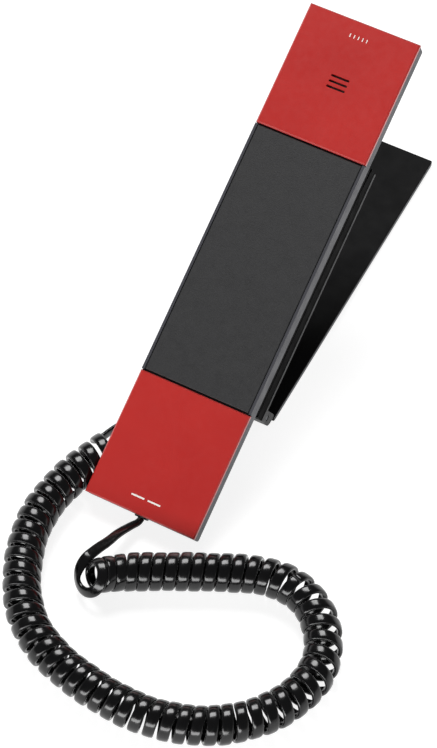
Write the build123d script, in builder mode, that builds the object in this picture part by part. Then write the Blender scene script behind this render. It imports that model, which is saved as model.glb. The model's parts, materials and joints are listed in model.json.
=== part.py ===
"""Slimline wall phone: a slab handset that rests on a folding V-shaped stand.

Millimetres, +Z up.  The stand's wall plate lies flat on the desk, the handset leans up and
away along +Y, and +X runs across it.  The origin is on the desk, under the middle of the phone.
Handset and cradle are drawn on the seat plane, where the handset's back meets the rocker:
its local y runs from the handset's lower end to its upper end, its local z out of the front.
"""
import os
from math import atan2, cos, pi, radians, sin, sqrt, tan

from build123d import *

os.makedirs("parts", exist_ok=True)

# ---------------------------------------------------------------- driving dimensions
overall_depth = 250.2       # along Y, handset's lower edge to the wall plate's far edge
front_to_origin = 126.1     # along Y, handset's lower edge to the frame's origin
width = 54.0                # handset, cradle and stand share one width
handset_length = 240.0
handset_depth = 10.5
lean = 27.5                 # angle between the handset and the desk
toe_clearance = 1.7         # handset's lower back edge above the desk

edge_bevel = 0.6
corner_round = 0.8
wall = 1.6                  # handset frame's wall
rear_cover_depth = 1.5
frame_top = 8.1             # where the red covers sit on the frame
cover_lip = 1.0
rib_half = 2.5              # half the width of the frame's cross ribs
lip_gap = 0.15
seam_low = 59.5             # middle of the groove between the mouthpiece cover and the panel
seam_high = 180.3
seam_width = 1.0
side_wall = 1.2             # frame's side beside the grip panel
panel_gap = 0.3
panel_drop = 0.2            # panel's face below the red covers' faces

slot_length = 9.0
slot_width = 1.1
slot_pitch = 2.6
slots_at = 210.3

key_columns = (15.0, 0.0, -15.0)
key_rows = (150.0, 137.0, 124.0, 111.0)
function_row = 95.0
key_size = (11.0, 8.0)
function_key_size = (11.0, 5.0)
key_gap = 0.3
key_proud = 0.8
key_flange = 0.9
flange_depth = 0.55
key_travel = 1.0

cradle_low = 61.0
cradle_high = 183.3
rocker_gap = 0.1            # handset's back to the rocker's face
rocker_depth = 2.9
deck = -3.4                 # cradle housing's front, on the seat plane's z
leaf_front = -12.8          # bracket's front leaf
leaf_depth = 2.5
housing_wall = 2.0
rocker_pivot = (170.0, -6.6)
rocker_pin_radius = 1.25
rocker_tilt = 7.0

hinge_at = (63.8, -20.6)    # stand's fold hinge, on the seat plane's (y, z)
hinge_pin_radius = 1.5
running_clearance = 0.05
plate_depth = 2.8
foot_proud = 0.6
plate_end_gap = 0.7
wall_slot_spacing = 90.0
wall_slot_length = 12.0
wall_slot_width = 4.4

cable_width = 4.4
coil_diameter = 17.0
coil_height = 8.8

# ---------------------------------------------------------------- planes
rise = sin(radians(lean))
run = cos(radians(lean))
half_width = width / 2
front_y = -front_to_origin
rear_y = overall_depth - front_to_origin
seat_y = front_y + (handset_depth - edge_bevel) * rise
seat_z = toe_clearance
SEAT = Plane(origin=(0, seat_y, seat_z), x_dir=(1, 0, 0), z_dir=(0, -rise, run))
SIDE = Plane(origin=SEAT.origin, x_dir=SEAT.y_dir, z_dir=SEAT.x_dir)
UPWARD = Axis(SEAT.origin, SEAT.y_dir)
OUTWARD = Axis(SEAT.origin, SEAT.z_dir)


def seat(height):
    """The seat plane raised by height."""
    return SEAT.offset(height)


def on_seat(x, along, height):
    """A point given on the seat plane, as a point of the phone."""
    return SEAT.from_local_coords(Vector(x, along, height))


def on_desk(along, height):
    """Y and Z of a point of the seat's side view."""
    point = on_seat(0, along, height)
    return point.Y, point.Z


def bar(size_x, low, high, bottom, top, x=0.0, mode=Mode.ADD):
    """A block on the seat plane: size_x wide about x, from low to high, bottom to top."""
    with BuildSketch(seat(bottom)) as outline:
        with Locations((x, (low + high) / 2)):
            Rectangle(size_x, high - low)
    extrude(outline.sketch, amount=top - bottom, mode=mode)


def disc(x, along, radius, bottom, top, mode=Mode.ADD):
    """A cylinder that stands on the seat plane."""
    with BuildSketch(seat(bottom)) as outline:
        with Locations((x, along)):
            Circle(radius)
    extrude(outline.sketch, amount=top - bottom, mode=mode)


def cross_rod(along, height, radius, x_low, x_high, mode=Mode.ADD):
    """A cylinder that lies across the phone."""
    with BuildSketch(SIDE.offset(x_low)) as outline:
        with Locations((along, height)):
            Circle(radius)
    extrude(outline.sketch, amount=x_high - x_low, mode=mode)


def finish(part_builder, name):
    """Labels a finished piece and writes its file."""
    part_builder.part.label = name
    export_step(part_builder.part, f"parts/{name}.step")


# ---------------------------------------------------------------- handset shell
boss_spots = [(x, y) for y in (6.0, 63.0, 176.8, 234.0) for x in (-23.4, 23.4)]
boss_radius = 2.4
screw_radius = 0.9
screw_depth = 6.5
inner_width = width - 2 * wall
grommet_height = 4.6
grommet_hole = (7.0, 4.6)
mic_at = (15.0, 5.4)
peg_spots = [(-19.0, 71.0), (19.0, 71.0)]
peg_radius = 2.0
peg_height = 1.1
panel_low = seam_low + seam_width / 2
panel_high = seam_high - seam_width / 2

with BuildPart() as handset_frame:
    with BuildSketch(seat(rear_cover_depth)):
        with Locations((0, handset_length / 2)):
            RectangleRounded(width, handset_length, corner_round)
            Rectangle(inner_width, handset_length - 2 * wall, mode=Mode.SUBTRACT)
    extrude(amount=frame_top - rear_cover_depth)
    # Ribs carry the ends of the covers and the panel.
    for seam in (seam_low, seam_high):
        bar(inner_width + wall, seam - rib_half, seam + rib_half, frame_top - 2.2, frame_top)
    # Beside the panel the sides rise to the front.
    for side in (-1, 1):
        middle = side * (half_width - side_wall / 2)
        bar(side_wall, seam_low, seam_high, frame_top - 1.0, handset_depth - panel_drop, x=middle)
    for x, y in boss_spots:
        disc(x, y, boss_radius, rear_cover_depth, frame_top - 1.2)
        disc(x, y, screw_radius, rear_cover_depth, screw_depth, mode=Mode.SUBTRACT)
    with BuildSketch(Plane(SEAT.origin, x_dir=SEAT.x_dir, z_dir=-SEAT.y_dir)):
        with Locations((0, grommet_height)):
            RectangleRounded(*grommet_hole, 1.5)
        with Locations((mic_at[0], grommet_height)):
            Circle(0.8)
    extrude(amount=-wall - 0.2, mode=Mode.SUBTRACT)
finish(handset_frame, "handset_frame")


def end_cover(low, high, lip_low, lip_high, slots):
    """A red end cover: a bevelled plate with a lip that drops inside the frame."""
    with BuildPart() as cover:
        bar(width, low, high, frame_top, handset_depth)
        rim = cover.faces().sort_by(OUTWARD)[-1].edges()
        chamfer(rim, edge_bevel)
        lip_width = inner_width - 2 * lip_gap
        with BuildSketch(seat(frame_top - cover_lip)):
            with Locations((0, (lip_low + lip_high) / 2)):
                Rectangle(lip_width, lip_high - lip_low)
                Rectangle(lip_width - 2.4, lip_high - lip_low - 2.4, mode=Mode.SUBTRACT)
            with Locations(*boss_spots):
                Circle(boss_radius + 0.4, mode=Mode.SUBTRACT)
        extrude(amount=cover_lip)
        if slots:
            with BuildSketch(seat(frame_top - 0.2)):
                with Locations((0, slots_at)):
                    with GridLocations(0, slot_pitch, 1, 3):
                        SlotOverall(slot_length, slot_width)
            extrude(amount=handset_depth, mode=Mode.SUBTRACT)
    return cover


earpiece_cover = end_cover(
    seam_high + seam_width / 2,
    handset_length,
    seam_high + rib_half + lip_gap,
    handset_length - wall - lip_gap,
    slots=True,
)
finish(earpiece_cover, "earpiece_cover")
mouthpiece_cover = end_cover(
    0,
    seam_low - seam_width / 2,
    wall + lip_gap,
    seam_low - rib_half - lip_gap,
    slots=False,
)
finish(mouthpiece_cover, "mouthpiece_cover")

with BuildPart() as grip_panel:
    panel_width = width - 2 * (side_wall + panel_gap)
    bar(panel_width, panel_low, panel_high, frame_top, handset_depth - panel_drop)
    chamfer(grip_panel.faces().sort_by(OUTWARD)[-1].edges(), 0.3)
    # Two long ribs stiffen the panel between the frame's cross ribs.
    for side in (-1, 1):
        bar(1.2, seam_low + 6, seam_high - 6, frame_top - 1.4, frame_top, x=side * 19.5)
finish(grip_panel, "grip_panel")

keys = []
for row, digits in zip(key_rows, ("123", "456", "789", ("star", "0", "hash"))):
    for column, digit in zip(key_columns, digits):
        keys.append((f"key_{digit}", column, row, key_size))
for column, purpose in zip(key_columns, ("redial", "mute", "recall")):
    keys.append((f"key_{purpose}", column, function_row, function_key_size))

with BuildPart() as rear_cover:
    with BuildSketch(seat(0)):
        with Locations((0, handset_length / 2)):
            RectangleRounded(width - 0.4, handset_length - 0.4, corner_round)
    extrude(amount=rear_cover_depth)
    chamfer(rear_cover.faces().sort_by(OUTWARD)[0].edges(), 0.4)
    with BuildSketch(seat(-1)):
        for name, x, y, size in keys:
            with Locations((x, y)):
                RectangleRounded(size[0] + 2 * key_gap, size[1] + 2 * key_gap, 1.6)
        with Locations(*peg_spots):
            Circle(peg_radius + 0.3)
        with Locations(*boss_spots):
            Circle(screw_radius + 0.2)
    extrude(amount=rear_cover_depth + 1.5, mode=Mode.SUBTRACT)
    with BuildSketch(seat(0)):
        with Locations(*boss_spots):
            Circle(2.0)
    extrude(amount=0.8, mode=Mode.SUBTRACT)
finish(rear_cover, "rear_cover")

with BuildPart() as handset_screws:
    for x, y in boss_spots:
        disc(x, y, 1.9, 0.1, 0.8)
        disc(x, y, screw_radius, 0.8, screw_depth - 0.3)
        bar(0.5, y - 1.3, y + 1.3, -0.1, 0.45, x=x, mode=Mode.SUBTRACT)
        bar(2.6, y - 0.25, y + 0.25, -0.1, 0.45, x=x, mode=Mode.SUBTRACT)
finish(handset_screws, "handset_screws")

# ---------------------------------------------------------------- keypad
for name, x, y, size in keys:
    with BuildPart() as key:
        with BuildSketch(seat(-key_proud)):
            with Locations((x, y)):
                RectangleRounded(*size, 1.4)
        extrude(amount=key_proud + rear_cover_depth)
        fillet(key.faces().sort_by(OUTWARD)[0].edges(), 0.35)
        with BuildSketch(seat(rear_cover_depth + 0.05)):
            with Locations((x, y)):
                RectangleRounded(size[0] + 2 * key_flange, size[1] + 2 * key_flange, 1.8)
        extrude(amount=flange_depth)
        with BuildSketch(seat(rear_cover_depth)):
            with Locations((x, y)):
                RectangleRounded(*size, 1.4)
        extrude(amount=0.1)
    finish(key, name)

membrane_bottom = 3.6
dome_bottom = rear_cover_depth + flange_depth + key_travel + 0.15
board_bottom = 4.2
board_depth = 1.0
pad_low = 86.0
pad_high = 159.0
with BuildPart() as keypad_membrane:
    bar(44.0, pad_low, pad_high, membrane_bottom, board_bottom)
    for name, x, y, size in keys:
        disc(x, y, 2.2, dome_bottom, membrane_bottom)
finish(keypad_membrane, "keypad_membrane")

board_low = 68.0
board_high = 190.0
with BuildPart() as handset_board:
    bar(39.0, board_low, board_high, board_bottom, board_bottom + board_depth)
    bar(45.0, pad_low - 2, pad_high + 2, board_bottom, board_bottom + board_depth)
    # Amplifier and dialler chips on the front of the board.
    bar(12.0, 104, 121, board_bottom + board_depth, board_bottom + 2.2, x=-8)
    bar(7.0, 132, 139, board_bottom + board_depth, board_bottom + 2.2, x=9)
    disc(12, 158, 2.5, board_bottom + board_depth, frame_top - 1.7)
finish(handset_board, "handset_board")

# ---------------------------------------------------------------- earpiece, microphone, magnets
capsule_top = 7.2
with BuildPart() as earpiece_capsule:
    disc(0, slots_at, 12.0, 3.2, capsule_top)
    disc(0, slots_at, 7.5, 2.4, 3.2)
    chamfer(earpiece_capsule.faces().sort_by(OUTWARD)[-1].edges(), 0.5)
finish(earpiece_capsule, "earpiece_capsule")

with BuildPart() as earpiece_gasket:
    with BuildSketch(seat(capsule_top)):
        with Locations((0, slots_at)):
            Circle(11.0)
            Circle(7.5, mode=Mode.SUBTRACT)
    extrude(amount=frame_top - capsule_top)
finish(earpiece_gasket, "earpiece_gasket")

with BuildPart() as microphone:
    with BuildSketch(Plane(on_seat(mic_at[0], 4.0, grommet_height), x_dir=SEAT.x_dir, z_dir=SEAT.y_dir)):
        Circle(2.0)
    extrude(amount=2.7)
finish(microphone, "microphone")

with BuildPart() as microphone_boot:
    bar(6.0, wall + 0.1, 7.6, 2.2, frame_top - cover_lip - 0.1, x=mic_at[0])
    with BuildSketch(Plane(on_seat(mic_at[0], 0, grommet_height), x_dir=SEAT.x_dir, z_dir=SEAT.y_dir)):
        Circle(0.8)
    extrude(amount=5.0, mode=Mode.SUBTRACT)
    with BuildSketch(Plane(on_seat(mic_at[0], 4.0, grommet_height), x_dir=SEAT.x_dir, z_dir=SEAT.y_dir)):
        Circle(2.0)
    extrude(amount=5.0, mode=Mode.SUBTRACT)
finish(microphone_boot, "microphone_boot")

magnet_spots = [(-9.0, 73.0), (9.0, 73.0), (-9.0, 163.0), (9.0, 163.0)]
with BuildPart() as keeper_plates:
    for y in (73.0, 163.0):
        bar(30.0, y - 4.0, y + 4.0, rear_cover_depth, rear_cover_depth + 1.0)
finish(keeper_plates, "keeper_plates")

hook_at = 83.0
with BuildPart() as hook_magnet:
    disc(0, hook_at, 1.9, rear_cover_depth, rear_cover_depth + 1.5)
finish(hook_magnet, "hook_magnet")

# ---------------------------------------------------------------- rocker
rocker_bottom = -rocker_gap - rocker_depth
pivot_y, pivot_z = rocker_pivot
ear_middle = 20.5
ear_width = 3.4
ear_radius = 2.4
key_pocket_floor = -rocker_gap - 1.4
spring_y = 179.0
spring_radius = 2.4
spring_floor = -8.2

with BuildPart() as rocker_plate:
    with BuildSketch(seat(rocker_bottom)):
        with Locations((0, (cradle_low + cradle_high) / 2)):
            RectangleRounded(width - 0.6, cradle_high - cradle_low - 0.4, 0.8)
    extrude(amount=rocker_depth)
    with BuildSketch(seat(key_pocket_floor)):
        with Locations((0, (pad_low + pad_high) / 2)):
            RectangleRounded(45.0, pad_high - pad_low, 2.5)
    extrude(amount=2.0, mode=Mode.SUBTRACT)
    # Pegs stop the handset from sliding down the slope.
    for x, y in peg_spots:
        disc(x, y, peg_radius, -rocker_gap, peg_height - rocker_gap)
    for side in (-1, 1):
        middle = side * ear_middle
        with BuildSketch(SIDE.offset(middle - ear_width / 2)):
            with Locations((pivot_y, pivot_z)):
                Circle(ear_radius)
            with Locations((pivot_y, (pivot_z + rocker_bottom) / 2)):
                Rectangle(2 * ear_radius, rocker_bottom - pivot_z)
        extrude(amount=ear_width)
        cross_rod(pivot_y, pivot_z, rocker_pin_radius + running_clearance,
                  middle - ear_width, middle + ear_width, mode=Mode.SUBTRACT)
    for x, y in magnet_spots:
        disc(x, y, 4.0, -2.2, 0.5, mode=Mode.SUBTRACT)
finish(rocker_plate, "rocker_plate")

with BuildPart() as rocker_magnets:
    for x, y in magnet_spots:
        disc(x, y, 4.0, -2.2, -rocker_gap - 0.1)
finish(rocker_magnets, "rocker_magnets")

with BuildPart() as rocker_pins:
    for side in (-1, 1):
        middle = side * ear_middle
        cross_rod(pivot_y, pivot_z, rocker_pin_radius, middle - 4.2, middle + 4.2)
finish(rocker_pins, "rocker_pins")

with BuildPart() as rocker_spring:
    spring_top = rocker_bottom - 0.05
    wire = 0.3
    with BuildLine():
        coil = Helix(
            pitch=1.15,
            height=spring_top - spring_floor - 2 * wire - 0.1,
            radius=spring_radius - wire,
            center=on_seat(0, spring_y, spring_floor + wire + 0.05),
            direction=SEAT.z_dir,
        )
    with BuildSketch(Plane(origin=coil @ 0, z_dir=coil % 0)):
        Circle(wire)
    sweep()
finish(rocker_spring, "rocker_spring")

# ---------------------------------------------------------------- cradle housing
jack_height = -8.6
cord_jack_x = -15.5
line_jack_x = 12.0
cord_jack_size = (10.4, 8.2, 15.0)
line_jack_size = (13.0, 8.2, 15.0)
jack_gap = 0.1
housing_screws = [(x, y) for y in (80.5, 160.5) for x in (-21.0, 21.0)]
ringer_y = 146.0
ringer_radius = 11.0
switch_y, switch_z = 118.0, -8.0
switch_travel = 4.0

with BuildPart() as cradle_housing:
    bar(width - 0.4, cradle_low, cradle_high, leaf_front, deck)
    bar(width - 0.4 - 2 * housing_wall, cradle_low + housing_wall, cradle_high - housing_wall,
        leaf_front, deck - housing_wall, mode=Mode.SUBTRACT)
    # Blocks round the pivot and under the sloping upper end.
    for side in (-1, 1):
        bar(8.6, pivot_y - 4.0, pivot_y + 4.0, pivot_z - 2.6, deck, x=side * ear_middle)
    bar(width - 2.0, pivot_y + 4.0, cradle_high - 1.0, spring_floor - 1.2, deck)
    with BuildSketch(SIDE.offset(-half_width)):
        with BuildLine():
            Polyline(
                (pivot_y + 1.0, deck),
                (cradle_high + 1.0, deck - 0.7 - (cradle_high - pivot_y) * tan(radians(rocker_tilt))),
                (cradle_high + 1.0, deck + 1.0),
                (pivot_y + 1.0, deck + 1.0),
                close=True,
            )
        make_face()
    extrude(amount=width, mode=Mode.SUBTRACT)
    for side in (-1, 1):
        middle = side * ear_middle
        bar(ear_width + 0.6, pivot_y - 3.2, pivot_y + 3.2, pivot_z - 3.0, deck + 1.0, x=middle,
            mode=Mode.SUBTRACT)
        cross_rod(pivot_y, pivot_z, rocker_pin_radius, middle - 4.3, middle + 4.3, mode=Mode.SUBTRACT)
    disc(0, spring_y, spring_radius + 0.3, spring_floor, deck + 1.0, mode=Mode.SUBTRACT)
    for x, y in housing_screws:
        disc(x, y, 2.8, leaf_front, deck - 1.0)
        disc(x, y, 1.2, leaf_front, deck - 2.2, mode=Mode.SUBTRACT)
    # Windows for the two sockets in the lower end, the switch in the left side,
    # and the ringer's outlets in the upper end.
    lower_end = Plane(on_seat(0, cradle_low, 0), x_dir=SEAT.x_dir, z_dir=-SEAT.y_dir)
    with BuildSketch(lower_end):
        for x, size in ((cord_jack_x, cord_jack_size), (line_jack_x, line_jack_size)):
            with Locations((x, jack_height)):
                Rectangle(size[0] + 2 * jack_gap, size[1] + 2 * jack_gap)
    extrude(amount=-cord_jack_size[2] - jack_gap, mode=Mode.SUBTRACT)
    bar(3.0, switch_y - 4.4, switch_y + 4.4, switch_z - 1.3, switch_z + 1.3, x=-half_width + 1.2,
        mode=Mode.SUBTRACT)
    upper_end = Plane(on_seat(0, cradle_high, 0), x_dir=SEAT.x_dir, z_dir=-SEAT.y_dir)
    with BuildSketch(upper_end):
        with Locations((0, -10.6)):
            with GridLocations(4.0, 0, 7, 1):
                SlotOverall(2.2, 1.2)
    extrude(amount=housing_wall, mode=Mode.SUBTRACT)
finish(cradle_housing, "cradle_housing")


def socket(x, size, opening, depth):
    """A modular socket: a box with a blind mouth in the cradle's lower end."""
    with BuildPart() as body:
        bar(size[0], cradle_low, cradle_low + size[2], jack_height - size[1] / 2,
            jack_height + size[1] / 2, x=x)
        bar(opening[0], cradle_low - 1, cradle_low + depth, jack_height - opening[1] / 2,
            jack_height + opening[1] / 2, x=x, mode=Mode.SUBTRACT)
    return body


socket_depth = 11.0
plug_size = (7.6, 6.0)
cord_jack = socket(cord_jack_x, cord_jack_size, (7.8, 6.2), socket_depth)
finish(cord_jack, "cord_jack")
line_jack = socket(line_jack_x, line_jack_size, (9.8, 6.6), socket_depth)
finish(line_jack, "line_jack")

base_board_bottom = -12.4
with BuildPart() as cradle_board:
    bar(34.0, 78.0, 128.0, base_board_bottom, base_board_bottom + 1.2)
    bar(10.0, 98, 116, base_board_bottom + 1.2, base_board_bottom + 2.6, x=4)
    for x, y, radius, top in ((-10, 92, 3.0, -6.2), (-10, 101, 3.0, -6.2), (10, 90, 2.5, -7.0)):
        disc(x, y, radius, base_board_bottom + 1.2, top)
    for y in (110, 118):
        bar(3.0, y - 1.2, y + 1.2, base_board_bottom + 1.2, -8.0, x=-10)
finish(cradle_board, "cradle_board")

with BuildPart() as reed_switch:
    cross_rod(hook_at, -9.6, 1.1, -7.0, 7.0)
    cross_rod(hook_at, -9.6, 0.3, -9.0, 9.0)
    for x in (-8.8, 8.8):
        bar(0.6, hook_at - 0.3, hook_at + 0.3, base_board_bottom + 1.2, -9.6, x=x)
finish(reed_switch, "reed_switch")

with BuildPart() as ringer:
    disc(0, ringer_y, ringer_radius, base_board_bottom, base_board_bottom + 3.8)
    disc(0, ringer_y, 3.0, base_board_bottom + 2.8, -8.0, mode=Mode.SUBTRACT)
    chamfer(ringer.faces().sort_by(OUTWARD)[-1].edges().sort_by(SortBy.LENGTH)[-1], 0.5)
finish(ringer, "ringer")

inner_face = -half_width + 0.2 + housing_wall
with BuildPart() as ringer_switch:
    thumb_y = switch_y - switch_travel / 2
    bar(3.4, thumb_y - 1.9, thumb_y + 1.9, switch_z - 1.0, switch_z + 1.0, x=inner_face - 1.4)
    bar(1.0, thumb_y - 3.7, thumb_y + 3.7, switch_z - 2.2, switch_z + 2.2, x=inner_face + 0.7)
    for groove_y in (thumb_y - 1.2, thumb_y, thumb_y + 1.2):
        bar(0.3, groove_y - 0.2, groove_y + 0.2, switch_z - 1.2, switch_z + 1.2, x=inner_face - 3.1,
            mode=Mode.SUBTRACT)
finish(ringer_switch, "ringer_switch")

with BuildPart() as switch_body:
    bar(3.6, switch_y - 7.0, switch_y + 7.0, switch_z - 2.4, switch_z + 2.4, x=inner_face + 3.2)
finish(switch_body, "switch_body")

# ---------------------------------------------------------------- stand bracket
leaf_back = leaf_front - leaf_depth
hinge_y, hinge_z = hinge_at
block_back = -30.6
lug_middle = 14.0
lug_width = 8.0
lug_radius = 3.6

with BuildPart() as stand_bracket:
    bar(width, cradle_low, cradle_high, leaf_back, leaf_front)
    # The block at the foot of the leaf, its outer corner rounded, holds the hinge pin.
    with BuildSketch(SIDE.offset(-half_width)):
        with BuildLine():
            Polyline(
                (cradle_low, leaf_front),
                (cradle_low, block_back + 2.0),
                (cradle_low + 5.4, block_back),
                (cradle_low + 6.2, block_back + 2.2),
                (cradle_low + 5.6, leaf_back),
                (cradle_low + 8.0, leaf_back + 1.0),
                (cradle_low + 8.0, leaf_front),
                close=True,
            )
        block_face = make_face()
        block_corner = on_seat(-half_width, cradle_low, block_back + 2.0)
        fillet(block_face.vertices().sort_by_distance(block_corner)[0], 4.5)
    extrude(amount=width)
    chamfer(stand_bracket.edges().filter_by(Axis.X).sort_by(UPWARD)[-2:], 0.3)
    for side in (-1, 1):
        bar(lug_width + 0.8, cradle_low - 2, cradle_low + 9, block_back - 4, leaf_back - 0.6,
            x=side * lug_middle, mode=Mode.SUBTRACT)
    cross_rod(hinge_y, hinge_z, hinge_pin_radius, -half_width - 1, half_width + 1, mode=Mode.SUBTRACT)
    for x, y in housing_screws:
        disc(x, y, 1.5, leaf_back - 1, leaf_front + 1, mode=Mode.SUBTRACT)
        disc(x, y, 2.6, leaf_back - 1, leaf_back + 1.4, mode=Mode.SUBTRACT)
finish(stand_bracket, "stand_bracket")

with BuildPart() as cradle_screws:
    for x, y in housing_screws:
        disc(x, y, 2.4, leaf_back + 0.1, leaf_back + 1.4)
        disc(x, y, 1.2, leaf_back + 1.4, deck - 2.6)
        bar(0.6, y - 1.6, y + 1.6, leaf_back, leaf_back + 0.7, x=x, mode=Mode.SUBTRACT)
        bar(3.2, y - 0.3, y + 0.3, leaf_back, leaf_back + 0.7, x=x, mode=Mode.SUBTRACT)
finish(cradle_screws, "cradle_screws")

with BuildPart() as hinge_pin:
    cross_rod(hinge_y, hinge_z, hinge_pin_radius, -half_width + 0.3, half_width - 0.3)
finish(hinge_pin, "hinge_pin")

# ---------------------------------------------------------------- wall plate
pin_y, pin_z = on_desk(hinge_y, hinge_z)
block_tip_y = on_desk(cradle_low + 5.4, block_back)[0]
plate_low = block_tip_y + plate_end_gap
plate_top = foot_proud + plate_depth
foot_spots = [(x, y) for y in (plate_low + 12.0, rear_y - 12.0) for x in (-19.0, 19.0)]
foot_radius = 5.0
plate_middle = (plate_low + rear_y) / 2

with BuildPart() as wall_plate:
    with BuildSketch(Plane.XY.offset(foot_proud)):
        with Locations((0, plate_middle)):
            RectangleRounded(width, rear_y - plate_low, corner_round)
        with Locations((0, plate_middle)):
            with GridLocations(0, wall_slot_spacing, 1, 2):
                SlotOverall(wall_slot_length, wall_slot_width, rotation=90, mode=Mode.SUBTRACT)
    extrude(amount=plate_depth)
    top_edges = wall_plate.edges().filter_by(GeomType.LINE).group_by(Axis.Z)[-1]
    chamfer(top_edges.sort_by(SortBy.LENGTH)[-2:], 0.3)
    # Two lugs reach from the plate to the hinge pin.
    lug_root = plate_low + 9.0
    reach = sqrt((lug_root - pin_y) ** 2 + (plate_top - pin_z) ** 2)
    slope = atan2(plate_top - pin_z, lug_root - pin_y)
    top_slope = slope + lug_radius / reach
    for side in (-1, 1):
        with BuildSketch(Plane.YZ.offset(side * lug_middle - lug_width / 2)):
            with Locations((pin_y, pin_z)):
                Circle(lug_radius)
            with BuildLine():
                Polyline(
                    (pin_y + lug_radius * sin(slope), pin_z - lug_radius * cos(slope)),
                    (plate_low + 0.6, foot_proud + 0.8),
                    (lug_root, foot_proud + 0.8),
                    (lug_root, plate_top),
                    (pin_y - lug_radius * sin(top_slope), pin_z + lug_radius * cos(top_slope)),
                    close=True,
                )
            make_face()
        extrude(amount=lug_width)
    with BuildSketch(Plane.YZ.offset(-half_width)):
        with Locations((pin_y, pin_z)):
            Circle(hinge_pin_radius + running_clearance)
    extrude(amount=width, mode=Mode.SUBTRACT)
    with BuildSketch(Plane.XY):
        with Locations(*foot_spots):
            Circle(foot_radius + 0.1)
    extrude(amount=foot_proud + 0.7, mode=Mode.SUBTRACT)
finish(wall_plate, "wall_plate")

with BuildPart() as rubber_feet:
    with BuildSketch(Plane.XY):
        with Locations(*foot_spots):
            Circle(foot_radius)
    extrude(amount=foot_proud + 0.65)
    chamfer(rubber_feet.edges().group_by(Axis.Z)[0], 0.25)
finish(rubber_feet, "rubber_feet")

# ---------------------------------------------------------------- cord
def rounded_path(route, name):
    """Straight runs joined by arcs as large as their two runs allow."""
    points = [Vector(*point) for point in route]
    radii = []
    for before, corner, after in zip(points, points[1:], points[2:]):
        turn = (corner - before).get_angle(after - corner)
        shorter = min((corner - before).length, (after - corner).length)
        radii.append(0.45 * shorter / tan(radians(turn) / 2))
    print(name, "radii", [round(radius, 1) for radius in radii])
    return FilletPolyline(*points, radius=radii)


def tube(route, diameter, name):
    """A round tube along a route."""
    with BuildPart() as body:
        with BuildLine():
            path = rounded_path(route, name)
        with BuildSketch(Plane(origin=path @ 0, z_dir=path % 0)):
            Circle(diameter / 2)
        sweep()
    expected = pi * (diameter / 2) ** 2 * path.length
    print(name, "length", round(path.length, 1), "volume", round(body.part.volume), "of", round(expected))
    return body


grommet_out = 0.8
with BuildPart() as cord_grommet:
    # A collar inside the frame's end wall and a snout that tapers along the cable.
    end_wall = Plane(SEAT.origin, x_dir=SEAT.x_dir, z_dir=-SEAT.y_dir)
    with BuildSketch(end_wall.offset(-wall - 1.6)):
        with Locations((0, grommet_height)):
            RectangleRounded(9.0, 4.8, 1.2)
    extrude(amount=1.5)
    with BuildSketch(end_wall.offset(-wall - 0.1)):
        with Locations((0, grommet_height)):
            RectangleRounded(grommet_hole[0] - 0.1, grommet_hole[1] - 0.1, 1.45)
    extrude(amount=wall + 0.1)
    with BuildSketch(end_wall):
        with Locations((0, grommet_height)):
            RectangleRounded(grommet_hole[0] - 0.1, grommet_hole[1] - 0.1, 1.45)
    with BuildSketch(end_wall.offset(grommet_out)):
        with Locations((0, grommet_height)):
            RectangleRounded(6.0, 3.6, 1.2)
    loft()
finish(cord_grommet, "cord_grommet")

plug_out = 9.5
with BuildPart() as cord_plug:
    bar(plug_size[0], cradle_low - 4.0, cradle_low + 8.0, jack_height - plug_size[1] / 2 + 0.5,
        jack_height + plug_size[1] / 2 - 0.5, x=cord_jack_x)
    bar(3.0, cradle_low - 3.0, cradle_low + 7.0, jack_height + plug_size[1] / 2 - 0.5,
        jack_height + plug_size[1] / 2 - 0.05, x=cord_jack_x)
    bar(5.6, cradle_low - plug_out, cradle_low - 4.0, jack_height - 1.9, jack_height + 1.9, x=cord_jack_x)
    chamfer(cord_plug.edges().filter_by(Axis.X).sort_by(UPWARD)[:2], 0.6)
finish(cord_plug, "cord_plug")

# Route points: x, then y from the handset's lower front edge, then z above the desk.
desk_start = front_y - edge_bevel * rise


def laid(route):
    """A route in the phone's frame."""
    return [(x, desk_start + y, z) for x, y, z in route]


lead_start = on_seat(0, -grommet_out - 0.1, grommet_height)
lead_bend = on_seat(0, -grommet_out - 3.8, grommet_height)
lead_route = [tuple(lead_start), tuple(lead_bend)] + laid([
    (-1.9, -5.6, 3.2),
    (-4.2, -8.4, 4.3),
    (-5.5, -11.6, 6.2),
    (-6.7, -16.8, 7.9),
    (-8.4, -22.2, 9.2),
    (-10.2, -27.2, 9.8),
    (-11.5, -32.2, 8.8),
    (-11.6, -36.6, 5.8),
    (-8.8, -40.3, 3.4),
    (-3.9, -41.6, 3.5),
])
coil_route = laid([(x, y, coil_height) for x, y in (
    (-3.7, -36.1),
    (5.5, -29.6),
    (20.0, -21.6),
    (38.0, -12.5),
    (66.0, 3.0),
    (92.0, -1.5),
    (105.5, -28.0),
    (101.0, -56.0),
    (80.0, -77.0),
    (53.0, -86.0),
    (27.0, -84.5),
    (-2.0, -79.5),
    (-24.0, -65.5),
    (-37.5, -42.0),
    (-42.0, -17.0),
    (-38.5, 7.0),
    (-36.5, 27.0),
)])
plug_end = on_seat(cord_jack_x, cradle_low - plug_out, jack_height)
tail_route = laid([
    (-33.48, 26.9, 9.5),
    (-32.7, 34.0, 9.3),
    (-27.8, 40.2, 10.8),
    (-21.0, 42.8, 12.6),
]) + [
    tuple(on_seat(cord_jack_x, cradle_low - plug_out - 7.0, jack_height)),
    tuple(plug_end),
]

cord_lead = tube(lead_route, cable_width, "cord_lead")
finish(cord_lead, "cord_lead")
cord_coil = tube(coil_route, coil_diameter, "cord_coil")
finish(cord_coil, "cord_coil")
cord_tail = tube(tail_route, cable_width, "cord_tail")
finish(cord_tail, "cord_tail")

print("seat", SEAT.origin, "pin", pin_y, pin_z, "pivot", on_desk(pivot_y, pivot_z))
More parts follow.
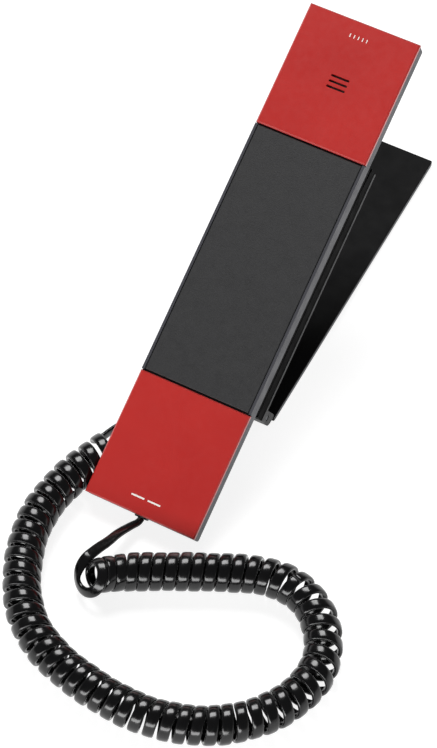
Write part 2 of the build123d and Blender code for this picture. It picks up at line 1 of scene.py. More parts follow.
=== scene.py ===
"""The slimline wall phone's looks: camera, light, cord, printed marks and materials.

Everything is in metres, in the frame's own axes: +Z up from the desk, +Y from the handset's
lower end to the wall plate's far edge, +X across.
"""
import json
import math

import bpy
import numpy as np
from mathutils import Matrix, Vector


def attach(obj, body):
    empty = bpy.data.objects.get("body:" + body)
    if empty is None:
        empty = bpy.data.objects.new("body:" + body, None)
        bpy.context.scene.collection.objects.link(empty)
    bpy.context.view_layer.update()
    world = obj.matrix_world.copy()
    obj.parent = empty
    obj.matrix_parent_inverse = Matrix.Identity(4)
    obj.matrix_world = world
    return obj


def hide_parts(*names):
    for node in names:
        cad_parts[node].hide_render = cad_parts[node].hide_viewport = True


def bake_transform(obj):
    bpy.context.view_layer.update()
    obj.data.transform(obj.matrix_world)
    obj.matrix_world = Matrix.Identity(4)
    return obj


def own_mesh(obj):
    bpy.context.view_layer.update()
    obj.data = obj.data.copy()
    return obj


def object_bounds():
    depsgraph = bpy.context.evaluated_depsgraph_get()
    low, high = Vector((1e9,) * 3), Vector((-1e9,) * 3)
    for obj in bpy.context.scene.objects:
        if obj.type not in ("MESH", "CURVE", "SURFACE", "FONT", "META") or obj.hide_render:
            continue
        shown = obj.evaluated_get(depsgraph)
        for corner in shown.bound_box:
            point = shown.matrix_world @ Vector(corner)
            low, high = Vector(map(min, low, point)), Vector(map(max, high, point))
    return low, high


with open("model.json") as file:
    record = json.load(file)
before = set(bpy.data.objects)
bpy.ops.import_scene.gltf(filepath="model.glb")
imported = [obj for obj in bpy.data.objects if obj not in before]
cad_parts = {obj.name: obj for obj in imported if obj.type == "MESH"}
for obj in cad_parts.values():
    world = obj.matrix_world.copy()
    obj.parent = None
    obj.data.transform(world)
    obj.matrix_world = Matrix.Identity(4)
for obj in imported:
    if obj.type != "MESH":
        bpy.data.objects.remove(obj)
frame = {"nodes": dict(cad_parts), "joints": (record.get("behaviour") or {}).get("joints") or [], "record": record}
cad_low, cad_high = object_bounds()

MM = 0.001
ACROSS = Vector((1, 0, 0))
OUT = Vector(next(j["axis"] for j in frame["joints"] if j["name"] == "handset_lift")).normalized()
ALONG = OUT.cross(ACROSS)


# ---------------------------------------------------------------- camera
CAMERA_PLACE = Vector((0.2927, -0.6594, 0.9711))
CAMERA_LOOK = Vector((-0.2517, 0.5229, -0.8144)).normalized()
CAMERA_UP = Vector((-0.3845, 0.7182, 0.5799))
CAMERA_LENS = 125.14


def make_camera():
    """The camera at the photograph's viewing angle, rolled a little as the photograph is."""
    data = bpy.data.cameras.new("camera")
    data.lens = CAMERA_LENS
    data.sensor_width = 36.0
    data.clip_start = 0.05
    data.clip_end = 120.0
    camera = bpy.data.objects.new("camera", data)
    bpy.context.scene.collection.objects.link(camera)
    camera.location = CAMERA_PLACE
    camera.rotation_mode = "QUATERNION"
    right = CAMERA_LOOK.cross(CAMERA_UP).normalized()
    turn = Matrix((right, right.cross(CAMERA_LOOK), -CAMERA_LOOK)).transposed()
    camera.rotation_quaternion = turn.to_quaternion()
    bpy.context.scene.camera = camera


make_camera()


# ---------------------------------------------------------------- mesh helpers
def new_object(name, mesh):
    """A mesh as an object of the scene."""
    piece = bpy.data.objects.new(name, mesh)
    bpy.context.scene.collection.objects.link(piece)
    return piece


def mesh_object(name, vertices, faces, smooth=True):
    """An object from points and faces."""
    mesh = bpy.data.meshes.new(name)
    mesh.from_pydata([tuple(v) for v in vertices], [], faces)
    mesh.update()
    for polygon in mesh.polygons:
        polygon.use_smooth = smooth
    return new_object(name, mesh)


def seat_box(node):
    """A CAD node's lowest and highest across, along and out of the handset's plane."""
    points = np.array([v.co for v in frame["nodes"][node].data.vertices])
    axes = np.array([ACROSS, ALONG, OUT])
    spans = points @ axes.T
    return spans.min(0), spans.max(0)


def at(across, along, out):
    """The point of the frame that is that far across, along and out of the handset's plane."""
    return float(across) * ACROSS + float(along) * ALONG + float(out) * OUT


# ---------------------------------------------------------------- cord
LAID_FROM = -0.126377           # y of the desk line under the handset's lower front edge
CABLE_WIDTH = 5.0 * MM
CABLE_THICKNESS = 2.1 * MM
COIL_RADIUS = 8.5 * MM
COIL_HEIGHT = 8.8
LINE_STEP = 0.6 * MM
TURN_STEPS = 44

LEAD_ROUTE = [
    (0.0, 1.93, 5.36),
    (-0.1, 0.4, 4.7),
    (-2.0, -3.4, 5.6),
    (-4.4, -11.0, 8.3),
    (-5.6, -17.8, 10.0),
    (-7.4, -23.5, 11.5),
    (-8.4, -28.8, 13.0),
]
COIL_ROUTE = [(x, y, COIL_HEIGHT) for x, y in (
    (-4.1, -38.9),
    (4.8, -28.8),
    (19.7, -20.6),
    (37.2, -11.4),
    (66.8, 2.5),
    (90.3, -4.3),
    (104.5, -28.0),
    (98.3, -54.2),
    (78.8, -74.9),
    (52.9, -84.6),
    (27.1, -84.5),
    (-2.3, -78.1),
    (-22.2, -64.3),
    (-35.2, -41.0),
    (-40.6, -17.7),
    (-36.7, 6.7),
    (-30.9, 21.5),
    (-25.6, 34.0),
)]
# How far apart the turns sit: (millimetres along the coil, pitch). They open out on the bend,
# and the coil ends at the last place, where the cable runs out as the tail.
COIL_PITCH = (
    (0, 5.6),
    (60, 5.75),
    (75, 6.3),
    (90, 6.9),
    (105, 7.6),
    (125, 7.8),
    (140, 7.4),
    (150, 6.9),
    (165, 6.3),
    (180, 5.9),
    (225, 5.95),
    (240, 6.2),
    (255, 6.5),
    (290, 6.9),
    (310, 7.0),
    (330, 6.65),
    (382, 6.8),
    (385.2, 6.9),
)
TAIL_ROUTE = [
    (-34.6, 31.5, 7.2),
    (-31.5, 39.0, 8.6),
    (-25.0, 46.5, 10.6),
    (-15.5, 46.6, 13.4),
    (-15.5, 54.3, 17.4),
]


def route_line(route):
    """Evenly spaced points of the smooth line that a route's points control."""
    curve = bpy.data.curves.new("route", "CURVE")
    curve.dimensions = "3D"
    curve.resolution_u = 24
    spline = curve.splines.new("NURBS")
    spline.points.add(len(route) - 1)
    for point, (x, y, z) in zip(spline.points, route):
        point.co = (x * MM, LAID_FROM + y * MM, z * MM, 1)
    spline.order_u = 3
    spline.use_endpoint_u = True
    bare = bpy.data.objects.new("route", curve)
    mesh = bpy.data.meshes.new_from_object(bare)
    line = np.array([v.co for v in mesh.vertices])
    bpy.data.meshes.remove(mesh)
    bpy.data.curves.remove(curve)
    return spaced(line, LINE_STEP)


def lengths(line):
    """How far along a line each of its points is."""
    steps = np.linalg.norm(np.diff(line, axis=0), axis=1)
    return np.concatenate([[0], np.cumsum(steps)])


def pick(line, distances):
    """The points of a line at those distances along it."""
    along = lengths(line)
    return np.stack([np.interp(distances, along, line[:, k]) for k in range(3)], axis=1)


def spaced(line, step):
    """The line again, with points about step apart."""
    total = lengths(line)[-1]
    return pick(line, np.linspace(0, total, max(2, round(total / step) + 1)))


def unit(vectors):
    """Vectors at length 1."""
    return vectors / np.linalg.norm(vectors, axis=-1, keepdims=True)


def tangents(line):
    """The direction of a line at each of its points."""
    return unit(np.gradient(line, axis=0))


def eased(share):
    """A share from 0 to 1 with a soft start and end."""
    share = np.clip(share, 0, 1)
    return share * share * (3 - 2 * share)


# The first turns: they lean open towards the lead, sit higher and are a little smaller.
FIRST_TURN_AXIS = np.array([0.509, 0.621, -0.597])
FIRST_TURN_UP = np.array([-0.385, 0.718, 0.580])
FIRST_ANGLE = math.radians(198.5)
FIRST_RISE = 2.45 * MM
FIRST_SHRINK = 1.13 * MM
LEAN_LENGTH = 20 * MM
FIRST_FLARE = 1.1               # radians between the cable's face and the coil's, at the start
FLARE_TURNS = 1.2
LEAD_TWIST = 0.9                # radians between the cable's face and the handset's, at the handset
# Real turns are a little uneven: the radius wanders slowly, by this much and this fast.
RADIUS_WANDER = 0.12 * MM
WANDER_PER_TURN = 1.8           # radians
PITCH_STEPS = 2000
JOIN_REACH = 0.36               # how stiffly a free length leaves its ends, as a share of its span


def coil_turns():
    """How many turns the coil has made at each of even steps along its axis."""
    places, pitches = np.array(COIL_PITCH, float).T * MM
    along = np.linspace(0, places[-1], PITCH_STEPS)
    per_length = 1 / np.interp(along, places, pitches)
    steps = (per_length[1:] + per_length[:-1]) / 2 * np.diff(along)
    return along, np.concatenate([[0], np.cumsum(steps)])


def coil_line(axis_line, radius):
    """A left-handed helix round a line, and the direction its cable's wide face looks."""
    along, turns = coil_turns()
    turned = np.linspace(0, turns[-1], round(turns[-1] * TURN_STEPS) + 1)
    places = np.interp(turned, turns, along)
    centres = pick(axis_line, places)
    lean = 1 - eased(places / LEAN_LENGTH)
    ahead = unit((1 - lean)[:, None] * tangents(centres) + lean[:, None] * FIRST_TURN_AXIS)
    up = FIRST_TURN_UP
    outward = np.zeros_like(centres)
    for i, direction in enumerate(ahead):
        up = up - direction * (up @ direction)
        up = up / np.linalg.norm(up)
        angle = FIRST_ANGLE + 2 * math.pi * turned[i]
        outward[i] = math.cos(angle) * np.cross(direction, up) + math.sin(angle) * up
    spread = radius - FIRST_SHRINK * lean + RADIUS_WANDER * np.sin(WANDER_PER_TURN * turned)
    line = centres + spread[:, None] * outward
    line[:, 2] += FIRST_RISE * lean
    flare = (FIRST_FLARE * (1 - eased(turned / FLARE_TURNS)))[:, None]
    return line, unit(np.cos(flare) * outward - np.sin(flare) * ahead)


def joining(start, start_way, end, end_way, start_facing, end_facing):
    """A smooth free length between two ends, each with its direction, and its facing."""
    span = np.linalg.norm(end - start)
    reach = JOIN_REACH * span
    share = np.linspace(0, 1, max(12, round(span / LINE_STEP)))[:, None]
    a, b, c, d = start, start + reach * start_way, end - reach * end_way, end
    rest = 1 - share
    line = rest**3 * a + 3 * rest**2 * share * b + 3 * rest * share**2 * c + share**3 * d
    facing = (1 - eased(share)) * start_facing + eased(share) * end_facing
    return line, facing


def flat_section(sides=16, squareness=3.2):
    """The outline of a flat cable, rounded at its two edges: (across, through) of each corner."""
    outline = []
    for i in range(sides):
        angle = 2 * math.pi * (i + 0.5) / sides
        c, s = math.cos(angle), math.sin(angle)
        across = math.copysign(abs(c) ** (2 / squareness), c) * CABLE_WIDTH / 2
        through = math.copysign(abs(s) ** (2 / squareness), s) * CABLE_THICKNESS / 2
        outline.append((across, through))
    return outline


def swept(line, across, through, outline):
    """An outline of (across, through) corners swept along a line, as points and faces."""
    rings = (
        line[:, None, :]
        + across[:, None, :] * outline[None, :, :1]
        + through[:, None, :] * outline[None, :, 1:]
    )
    sides = len(outline)
    last_ring = (len(line) - 1) * sides
    faces = [
        (r + i, r + (i + 1) % sides, r + sides + (i + 1) % sides, r + sides + i)
        for r in range(0, last_ring, sides)
        for i in range(sides)
    ]
    faces.append(tuple(reversed(range(sides))))
    faces.append(tuple(range(last_ring, last_ring + sides)))
    return rings.reshape(-1, 3), faces


def flat_cable(name, line, normals):
    """A flat cable along a line, its wide faces square to the normals."""
    ahead = tangents(line)
    through = unit(normals - ahead * (normals * ahead).sum(1)[:, None])
    vertices, faces = swept(line, np.cross(ahead, through), through, np.array(flat_section()))
    return mesh_object(name, vertices, faces)


def make_cord():
    """The handset cord, one line: flat lead from the handset, coil, flat tail into the plug."""
    helix, helix_facing = coil_line(route_line(COIL_ROUTE), COIL_RADIUS - CABLE_THICKNESS / 2)
    lead = route_line(LEAD_ROUTE)
    tail = route_line(TAIL_ROUTE)
    seat_facing = np.array(OUT)
    coil_way = tangents(helix)
    lead_way = tangents(lead)
    tail_way = tangents(tail)
    untwist = LEAD_TWIST * (1 - lengths(lead) / lengths(lead)[-1])[:, None]
    lead_facing = unit(
        np.cos(untwist) * seat_facing + np.sin(untwist) * np.cross(lead_way, seat_facing)
    )
    # The tail stands on its edge where it leaves the coil, and lies flat in the plug.
    flat_share = eased(lengths(tail) / lengths(tail)[-1])[:, None]
    edgewise = np.cross([0.0, 0.0, 1.0], tail_way)
    tail_facing = unit((1 - flat_share) * edgewise + flat_share * seat_facing)
    into, into_facing = joining(
        lead[-1], lead_way[-1], helix[0], coil_way[0], lead_facing[-1], helix_facing[0],
    )
    out_of, out_facing = joining(
        helix[-1], coil_way[-1], tail[0], tail_way[0], helix_facing[-1], tail_facing[0],
    )
    line = np.concatenate([lead, into[1:-1], helix, out_of[1:-1], tail])
    facing = np.concatenate([
        lead_facing,
        into_facing[1:-1],
        helix_facing,
        out_facing[1:-1],
        tail_facing,
    ])
    return line, facing


CORD_LENGTHS = (0.46, 0.31, 2.13)
cord_line, cord_normals = make_cord()
first_cut = int(np.argmin(abs(lengths(cord_line) - CORD_LENGTHS[0])))
second_cut = int(np.argmin(abs(lengths(cord_line) - CORD_LENGTHS[0] - CORD_LENGTHS[1])))
cuts = (0, first_cut, second_cut, len(cord_line) - 1)
cord_names = ("cord_by_handset", "cord_middle", "cord_by_cradle")
cords = [
    flat_cable(name, cord_line[low:high + 1], cord_normals[low:high + 1])
    for name, low, high in zip(cord_names, cuts, cuts[1:])
]

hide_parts("cord_lead")
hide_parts("cord_coil")
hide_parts("cord_tail")
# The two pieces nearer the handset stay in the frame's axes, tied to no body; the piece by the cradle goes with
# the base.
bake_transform(cords[0])
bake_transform(cords[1])
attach(cords[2], "base")


# ---------------------------------------------------------------- material helpers
def linear(red, green, blue):
    """A colour given as 0 to 255 on a screen, as a linear colour."""
    values = [c / 255 for c in (red, green, blue)]
    return tuple(c / 12.92 if c <= 0.04045 else ((c + 0.055) / 1.055) ** 2.4 for c in values) + (1.0,)


class Shader:
    """A procedural material: a Principled shader and the nodes that feed it."""

    def __init__(self, name, colour, roughness, metallic=0.0):
        self.material = bpy.data.materials.new(name)
        self.material.use_nodes = True
        self.material.diffuse_color = colour
        self.tree = self.material.node_tree
        self.surface = self.tree.nodes["Principled BSDF"]
        self.surface.inputs["Base Color"].default_value = colour
        self.surface.inputs["Roughness"].default_value = roughness
        self.surface.inputs["Metallic"].default_value = metallic
        self.colour = colour
        self.place = self.add("ShaderNodeTexCoord").outputs["Object"]

    def add(self, kind, **values):
        """A node with some of its inputs set."""
        node = self.tree.nodes.new(kind)
        for key, value in values.items():
            if key in node.inputs:
                node.inputs[key].default_value = value
            else:
                setattr(node, key, value)
        return node

    def link(self, output, target):
        self.tree.links.new(output, target)

    def noise(self, size, detail=3.0, place=None):
        """Noise whose grains are about size metres across, from 0 to 1."""
        node = self.add("ShaderNodeTexNoise", Scale=1 / size, Detail=detail)
        self.link(place or self.place, node.inputs["Vector"])
        return node.outputs["Fac"]

    def cells(self, size, feature="F1"):
        """Distance to the nearest of scattered points about size metres apart."""
        node = self.add("ShaderNodeTexVoronoi", Scale=1 / size)
        node.feature = feature
        self.link(self.place, node.inputs["Vector"])
        return node.outputs["Distance"]

    def spread(self, value, low, high, from_low=0.3, from_high=0.7):
        """A value that runs from low to high as value runs over its usual range."""
        node = self.add("ShaderNodeMapRange")
        node.inputs["From Min"].default_value = from_low
        node.inputs["From Max"].default_value = from_high
        node.inputs["To Min"].default_value = low
        node.inputs["To Max"].default_value = high
        self.link(value, node.inputs["Value"])
        return node.outputs["Result"]

    def tint(self, value, other):
        """The base colour runs towards other as value goes to 1."""
        node = self.add("ShaderNodeMix", data_type="RGBA")
        colours = [s for s in node.inputs if s.type == "RGBA"]
        colours[0].default_value = self.colour
        colours[1].default_value = other
        self.link(value, node.inputs["Factor"])
        out = [s for s in node.outputs if s.type == "RGBA"][0]
        self.link(out, self.surface.inputs["Base Color"])

    def rough(self, value, low, high):
        """Roughness between low and high."""
        self.link(self.spread(value, low, high), self.surface.inputs["Roughness"])

    def bump(self, *layers):
        """Layers of (height from 0 to 1, depth in metres), one on top of another."""
        normal = None
        for height, depth in layers:
            node = self.add("ShaderNodeBump", Strength=1.0, Distance=depth)
            self.link(height, node.inputs["Height"])
            if normal is not None:
                self.link(normal, node.inputs["Normal"])
            normal = node.outputs["Normal"]
        self.link(normal, self.surface.inputs["Normal"])


def shade(colour, factor):
    """A colour made darker or lighter."""
    return tuple(min(1.0, c * factor) for c in colour[:3]) + (1.0,)


def moulded(name, colour, roughness, grain, depth, gloss=0.5):
    """Moulded plastic: a fine spark-eroded grain, slow mottling and uneven sheen."""
    s = Shader(name, colour, roughness)
    s.surface.inputs["Specular IOR Level"].default_value = gloss
    s.tint(s.spread(s.noise(28 * MM, 2.0), 0.0, 1.0), shade(colour, 0.9))
    s.rough(s.noise(7 * MM, 4.0), roughness - 0.05, roughness + 0.06)
    s.bump((s.noise(grain, 2.0), depth), (s.noise(grain * 5, 2.0), depth * 0.6))
    return s.material


def plate_black():
    """The wall plate's satin black, with its two long cut edges left grey."""
    s = Shader("shell_black", linear(10, 10, 11), 0.58)
    s.surface.inputs["Specular IOR Level"].default_value = 0.09
    parts = s.add("ShaderNodeSeparateXYZ")
    s.link(s.add("ShaderNodeNewGeometry").outputs["True Normal"], parts.inputs["Vector"])
    sideways = s.add("ShaderNodeMath", operation="ABSOLUTE")
    s.link(parts.outputs["X"], sideways.inputs[0])
    s.tint(s.spread(sideways.outputs["Value"], 0.0, 1.0, 0.8, 0.95), linear(92, 92, 94))
    s.rough(s.noise(7 * MM, 4.0), 0.53, 0.64)
    s.bump((s.noise(0.25 * MM, 2.0), 0.016 * MM), (s.noise(1.25 * MM, 2.0), 0.01 * MM))
    return s.material


def painted_red():
    """Red lacquer over moulded plastic: smooth, with a faint orange peel and a soft gloss."""
    colour = linear(180, 42, 38)
    s = Shader("red_lacquer", colour, 0.33)
    s.surface.inputs["Coat Weight"].default_value = 0.25
    s.surface.inputs["Coat Roughness"].default_value = 0.18
    s.tint(s.spread(s.noise(40 * MM, 2.0), 0.0, 1.0), linear(172, 37, 34))
    s.rough(s.noise(3 * MM, 3.0), 0.3, 0.38)
    s.bump((s.noise(0.5 * MM, 2.0), 0.004 * MM), (s.noise(2.5 * MM, 2.0), 0.006 * MM))
    return s.material


def grip_grey():
    """The grip panel's dark grey, with the fine pebbled grain of a soft-touch moulding."""
    colour = linear(42, 42, 43)
    s = Shader("grip_grey", colour, 0.55)
    pebbles = s.cells(0.55 * MM, "SMOOTH_F1")
    s.tint(s.spread(s.noise(0.9 * MM, 3.0), 0.0, 1.0), linear(35, 35, 36))
    s.rough(s.noise(4 * MM, 3.0), 0.5, 0.6)
    s.bump((pebbles, 0.05 * MM), (s.noise(0.25 * MM, 2.0), 0.012 * MM))
    return s.material


def metal(name, colour, roughness, brushed=0.0):
    """Bare or plated metal, with fine streaks where it is brushed."""
    s = Shader(name, colour, roughness, metallic=1.0)
    stretch = s.add("ShaderNodeMapping")
    stretch.inputs["Scale"].default_value = (1.0, 1.0 - brushed, 1.0)
    s.link(s.place, stretch.inputs["Vector"])
    streaks = s.noise(0.35 * MM, 3.0, stretch.outputs["Vector"])
    s.tint(s.spread(s.noise(6 * MM, 3.0), 0.0, 1.0), shade(colour, 0.82))
    s.rough(streaks, roughness - 0.06, roughness + 0.1)
    s.bump((streaks, 0.004 * MM))
    return s.material


def rubber(name, colour, roughness=0.75):
    """Matt rubber with a dusty grain."""
    s = Shader(name, colour, roughness)
    s.surface.inputs["Specular IOR Level"].default_value = 0.3
    s.tint(s.spread(s.noise(1.5 * MM, 4.0), 0.0, 1.0), shade(colour, 1.5))
    s.rough(s.noise(2 * MM, 3.0), roughness - 0.08, roughness + 0.1)
    s.bump((s.noise(0.3 * MM, 3.0), 0.03 * MM))
    return s.material


def glossy_vinyl():
    """The cord's black vinyl: glossy, a little wavy, with faint handling marks."""
    s = Shader("cord_vinyl", linear(5, 5, 6), 0.18)
    s.surface.inputs["Specular IOR Level"].default_value = 0.35
    s.surface.inputs["Coat Weight"].default_value = 0.25
    s.surface.inputs["Coat Roughness"].default_value = 0.14
    s.tint(s.spread(s.noise(5 * MM, 3.0), 0.0, 1.0), linear(8, 8, 9))
    s.rough(s.noise(2.2 * MM, 4.0), 0.13, 0.24)
    s.bump((s.noise(1.6 * MM, 2.0), 0.03 * MM), (s.noise(0.25 * MM, 2.0), 0.004 * MM))
    return s.material


def circuit_board():
    """Green solder mask with brighter copper tracks under it."""
    s = Shader("circuit_board", linear(24, 92, 52), 0.35)
    tracks = s.add("ShaderNodeTexBrick", Scale=420.0)
    tracks.inputs["Color1"].default_value = linear(24, 92, 52)
    tracks.inputs["Color2"].default_value = linear(30, 104, 60)
    tracks.inputs["Mortar"].default_value = linear(86, 150, 84)
    tracks.inputs["Mortar Size"].default_value = 0.05
    s.link(s.place, tracks.inputs["Vector"])
    s.link(tracks.outputs["Color"], s.surface.inputs["Base Color"])
    s.rough(s.noise(3 * MM), 0.3, 0.42)
    s.bump((tracks.outputs["Fac"], 0.03 * MM))
    return s.material


def clear_plastic(name, colour, roughness):
    """Clear moulded plastic or glass, seen as a pale tint."""
    s = Shader(name, colour, roughness)
    s.surface.inputs["Transmission Weight"].default_value = 0.7
    s.surface.inputs["IOR"].default_value = 1.5
    s.rough(s.noise(2 * MM), roughness, roughness + 0.08)
    s.bump((s.noise(1.5 * MM), 0.01 * MM))
    return s.material


def foam(name, colour):
    """Open-cell foam."""
    s = Shader(name, colour, 0.95)
    holes = s.cells(0.5 * MM)
    s.tint(s.spread(holes, 0.0, 1.0, 0.0, 0.6), shade(colour, 2.2))
    s.bump((holes, 0.15 * MM))
    return s.material


def gold():
    """Gold-plated spring wire."""
    return metal("contact_gold", linear(214, 168, 82), 0.22, brushed=0.5)


def white_ink():
    """Pad-printed white ink, very slightly uneven."""
    s = Shader("white_ink", linear(238, 236, 232), 0.45)
    s.tint(s.spread(s.noise(0.6 * MM, 3.0), 0.0, 1.0), linear(226, 222, 216))
    s.rough(s.noise(0.8 * MM), 0.4, 0.55)
    s.bump((s.noise(0.2 * MM), 0.004 * MM))
    return s.material


FINISHES = {
    "red_gloss": painted_red(),
    "panel_grey": grip_grey(),
    "frame_grey": moulded("frame_grey", linear(65, 65, 70), 0.48, 0.22 * MM, 0.012 * MM, gloss=0.28),
    "shell_black": plate_black(),
    "stand_grey": moulded("stand_grey", linear(50, 50, 51), 0.55, 0.22 * MM, 0.012 * MM, gloss=0.15),
    "key_black": moulded("key_black", linear(34, 34, 36), 0.42, 0.2 * MM, 0.008 * MM),
    "silicone_rubber": rubber("silicone_rubber", linear(96, 96, 98), 0.6),
    "circuit_board": circuit_board(),
    "capsule_metal": metal("capsule_metal", linear(176, 178, 182), 0.38, brushed=0.8),
    "black_foam": foam("black_foam", linear(16, 16, 17)),
    "plated_steel": metal("plated_steel", linear(158, 160, 164), 0.34, brushed=0.6),
    "magnet_nickel": metal("magnet_nickel", linear(182, 178, 168), 0.25),
    "screw_steel": metal("screw_steel", linear(128, 128, 132), 0.36),
    "socket_black": moulded("socket_black", linear(24, 24, 25), 0.55, 0.3 * MM, 0.014 * MM),
    "reed_glass": clear_plastic("reed_glass", linear(214, 226, 218), 0.05),
    "ringer_black": moulded("ringer_black", linear(20, 20, 21), 0.5, 0.3 * MM, 0.01 * MM),
    "switch_white": moulded("switch_white", linear(206, 205, 200), 0.45, 0.25 * MM, 0.006 * MM),
    "foot_rubber": rubber("foot_rubber", linear(22, 22, 23)),
    "cord_black": glossy_vinyl(),
    "plug_clear": clear_plastic("plug_clear", linear(214, 218, 222), 0.12),
}
# Painted shade: a near-black with almost no sheen, standing in for the shadow in the gap between the handset and
# the stand.
PAINTED_SHADE_BLACK = moulded("painted_shade_black", linear(4, 4, 4), 0.6, 0.25 * MM, 0.016 * MM, gloss=0.01)
INK = white_ink()
GOLD = gold()


def dress(piece, material):
    """Gives a piece one material all over."""
    piece.data.materials.clear()
    piece.data.materials.append(material)


for subpart in frame["record"]["subparts"]:
    dress(frame["nodes"][subpart["node"]], FINISHES[subpart["material_slot"]])
# These two face the handset closely and are made much darker than the wall plate, with almost no sheen: painted
# shade for the shadowed gap under the handset.
for node in ("cradle_housing", "rocker_plate"):
    dress(frame["nodes"][node], PAINTED_SHADE_BLACK)
for piece in cords:
    dress(piece, FINISHES["cord_black"])


# ---------------------------------------------------------------- printed marks
INK_DEPTH = 0.03 * MM
INK_SUNK = 0.005 * MM           # how far a mark's back is sunk into the face it is printed on
DIGIT_HEIGHT = 5.2
STROKE_STEP = 2.05
PRESS_MARK_FROM_TOP = 7.4 * MM
LOWER_MARK_FROM_END = 7.2 * MM
KEY_DIGITS = ("1", "2", "3", "4", "5", "6", "7", "8", "9", "star", "0", "hash")
CHARACTERS = {"star": "*", "hash": "#"}


def bar(across, along, x=0.0, y=0.0, steps=4):
    """A thin bar with round corners, as a prism in millimetres: its points and faces."""
    radius = 0.3 * min(across, along)
    outline = []
    for turn, (sx, sy) in enumerate(((1, 1), (-1, 1), (-1, -1), (1, -1))):
        for i in range(steps + 1):
            angle = math.pi / 2 * (turn + i / steps)
            outline.append((
                x + sx * (across / 2 - radius) + radius * math.cos(angle),
                y + sy * (along / 2 - radius) + radius * math.sin(angle),
            ))
    return prism(outline)


def disc(radius, steps=24):
    """A thin round spot, as a prism."""
    return prism([
        (radius * math.cos(2 * math.pi * i / steps), radius * math.sin(2 * math.pi * i / steps))
        for i in range(steps)
    ])


def triangle(reach):
    """A thin triangle that points right, as a prism."""
    return prism([(reach, 0.0), (-0.6 * reach, 0.85 * reach), (-0.6 * reach, -0.85 * reach)])


def prism(outline):
    """An outline in millimetres, one ink depth thick: its points and faces."""
    count = len(outline)
    depth = INK_DEPTH / MM
    points = [(x, y, 0.0) for x, y in outline] + [(x, y, depth) for x, y in outline]
    faces = [tuple(reversed(range(count))), tuple(range(count, 2 * count))]
    faces += [(i, (i + 1) % count, count + (i + 1) % count, count + i) for i in range(count)]
    return points, faces


def character(text, height):
    """A digit, a star or a hash in Blender's own plain font, as points and faces in millimetres."""
    curve = bpy.data.curves.new("character", "FONT")
    curve.body = text
    curve.size = height
    curve.align_x = "CENTER"
    curve.align_y = "CENTER"
    curve.extrude = INK_DEPTH / MM / 2
    curve.resolution_u = 4
    shape = bpy.data.objects.new("character", curve)
    mesh = bpy.data.meshes.new_from_object(shape)
    points = [(v.co.x, v.co.y, v.co.z + INK_DEPTH / MM / 2) for v in mesh.vertices]
    faces = [tuple(polygon.vertices) for polygon in mesh.polygons]
    bpy.data.objects.remove(shape)
    bpy.data.curves.remove(curve)
    bpy.data.meshes.remove(mesh)
    return points, faces


def printed(name, shapes, centre, facing, body):
    """Flat shapes printed on the handset's front (facing 1) or back (facing -1), upright there."""
    vertices = []
    faces = []
    for points, shape_faces in shapes:
        first = len(vertices)
        for x, y, z in points:
            vertices.append(centre + facing * x * MM * ACROSS + y * MM * ALONG + facing * z * MM * OUT)
        faces += [tuple(first + i for i in face) for face in shape_faces]
    mark = mesh_object(name, vertices, faces, smooth=False)
    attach(mark, body)
    dress(mark, INK)


def make_front_marks():
    """Five short strokes where a finger presses, and two plain bars near the lower end."""
    upper_high = seat_box("earpiece_cover")[1]
    lower_low, lower_high = seat_box("mouthpiece_cover")
    strokes = [bar(0.42, 1.7, x=(i - 2) * STROKE_STEP) for i in range(5)]
    lines = [bar(6.4, 0.75, x=-3.9), bar(6.2, 0.75, x=4.0)]
    upper_place = at(0, upper_high[1] - PRESS_MARK_FROM_TOP, upper_high[2] - INK_SUNK)
    lower_place = at(0, lower_low[1] + LOWER_MARK_FROM_END, lower_high[2] - INK_SUNK)
    printed("press_mark", strokes, upper_place, 1, "handset")
    printed("lower_mark", lines, lower_place, 1, "handset")


def make_key_marks():
    """Each key's digit, and a plain shape on each function key."""
    shapes = {f"key_{key}": character(CHARACTERS.get(key, key), DIGIT_HEIGHT) for key in KEY_DIGITS}
    shapes["key_redial"] = triangle(1.3)
    shapes["key_mute"] = disc(1.0)
    shapes["key_recall"] = bar(3.2, 0.8)
    for key, shape in shapes.items():
        low, high = seat_box(key)
        middle = (low + high) / 2
        place = at(middle[0], middle[1], low[2] + INK_SUNK)
        printed(f"{key}_mark", [shape], place, -1, key)


make_front_marks()
make_key_marks()


# ---------------------------------------------------------------- jack contacts
def wire(path, radius, sides=8):
    """A round wire through a few points, as points and faces."""
    line = np.array([list(p) for p in path])
    ahead = tangents(line)
    side = unit(np.cross(ahead, np.array(ACROSS) + 1e-6))
    other = np.cross(ahead, side)
    angles = 2 * math.pi * np.arange(sides) / sides
    outline = radius * np.stack([np.cos(angles), np.sin(angles)], axis=1)
    return swept(line, side, other, outline)


CONTACT_STEP = 1.02 * MM
CONTACT_RADIUS = 0.17 * MM
# A contact's side view in millimetres: (in from the jack's mouth, down from its top).
CONTACT_PATH = ((1.6, 0.85), (2.6, 0.95), (6.0, 1.75), (9.0, 2.55), (10.9, 2.85))


def make_contacts():
    """Four sprung gold wires across the roof of the line jack's mouth."""
    low, high = seat_box("line_jack")
    middle = (low[0] + high[0]) / 2
    vertices = []
    faces = []
    for i in range(4):
        across = middle + (i - 1.5) * CONTACT_STEP
        path = [at(across, low[1] + inward * MM, high[2] - down * MM) for inward, down in CONTACT_PATH]
        points, wire_faces = wire(path, CONTACT_RADIUS)
        faces += [tuple(len(vertices) + k for k in face) for face in wire_faces]
        vertices += list(points)
    contacts = mesh_object("line_contacts", vertices, faces)
    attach(contacts, "base")
    dress(contacts, GOLD)


make_contacts()


def settle_spring():
    """Gives the rocker's spring a mesh of its own."""
    spring = frame["nodes"]["rocker_spring"]
    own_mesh(spring)


settle_spring()


# ---------------------------------------------------------------- stage
WHITE = (1, 1, 1, 1)
FLOOR_REACH = 40.0
FLOOR_LEVEL = -0.15 * MM
FLOOR_COLOUR = (0.4, 0.4, 0.4, 1)
FLOOR_GLOW = 0.85
# The room's light by direction: bright up to the first height, dim from the second.
ROOM_HEIGHTS = (0.14, 0.3)
ROOM_STRENGTHS = (0.92, 0.12)


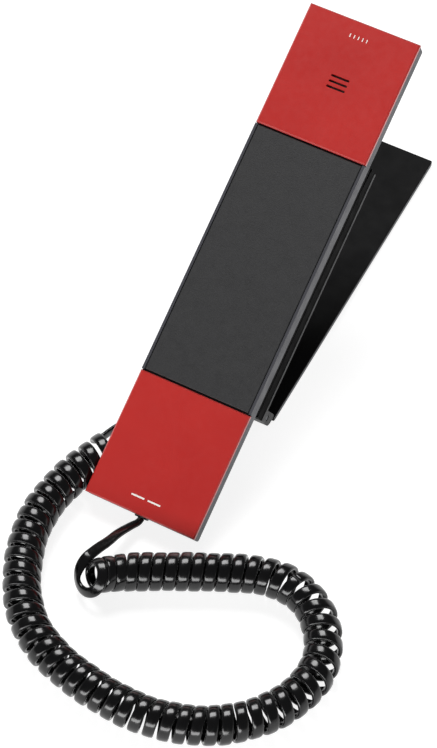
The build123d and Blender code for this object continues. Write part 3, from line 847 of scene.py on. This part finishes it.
def make_floor():
    """A pale, plain floor just under the feet, evenly bright."""
    corners = [
        (x * FLOOR_REACH, y * FLOOR_REACH, FLOOR_LEVEL)
        for x, y in ((-1, -1), (1, -1), (1, 1), (-1, 1))
    ]
    floor = mesh_object("floor", corners, [(0, 1, 2, 3)])
    s = Shader("floor_white", FLOOR_COLOUR, 0.9)
    s.surface.inputs["Specular IOR Level"].default_value = 0.0
    s.surface.inputs["Emission Color"].default_value = WHITE
    s.surface.inputs["Emission Strength"].default_value = FLOOR_GLOW
    dress(floor, s.material)


def area_light(name, place, target, size, power, tall=None):
    """A soft box that points at target."""
    data = bpy.data.lights.new(name, "AREA")
    data.shape = "RECTANGLE"
    data.size = size
    data.size_y = tall or size
    data.energy = power
    light = bpy.data.objects.new(name, data)
    bpy.context.scene.collection.objects.link(light)
    light.location = place
    light.rotation_mode = "QUATERNION"
    light.rotation_quaternion = (Vector(target) - Vector(place)).to_track_quat("-Z", "Y")


def make_boxes():
    """Two soft boxes: one overhead behind at the left, one wide and low in front."""
    middle = (cad_low + cad_high) / 2
    area_light("overhead_box", (-0.5, 0.6, 1.35), middle, 0.75, 19.0)
    area_light("front_box", (0.15, -1.3, 0.3), middle, 1.7, 16.0, tall=0.35)


def make_room():
    """A room that is pale near the floor and dim above."""
    world = bpy.data.worlds.new("room")
    world.use_nodes = True
    nodes = world.node_tree.nodes
    links = world.node_tree.links
    nodes["Background"].inputs["Color"].default_value = WHITE
    direction = nodes.new("ShaderNodeTexCoord")
    parts = nodes.new("ShaderNodeSeparateXYZ")
    height = nodes.new("ShaderNodeMapRange")
    height.interpolation_type = "SMOOTHSTEP"
    height.inputs["From Min"].default_value = ROOM_HEIGHTS[0]
    height.inputs["From Max"].default_value = ROOM_HEIGHTS[1]
    height.inputs["To Min"].default_value = ROOM_STRENGTHS[0]
    height.inputs["To Max"].default_value = ROOM_STRENGTHS[1]
    links.new(direction.outputs["Generated"], parts.inputs["Vector"])
    links.new(parts.outputs["Z"], height.inputs["Value"])
    links.new(height.outputs["Result"], nodes["Background"].inputs["Strength"])
    bpy.context.scene.world = world


make_floor()
make_boxes()
make_room()
bpy.context.scene.view_settings.view_transform = "Standard"
bpy.context.scene.view_settings.look = "None"
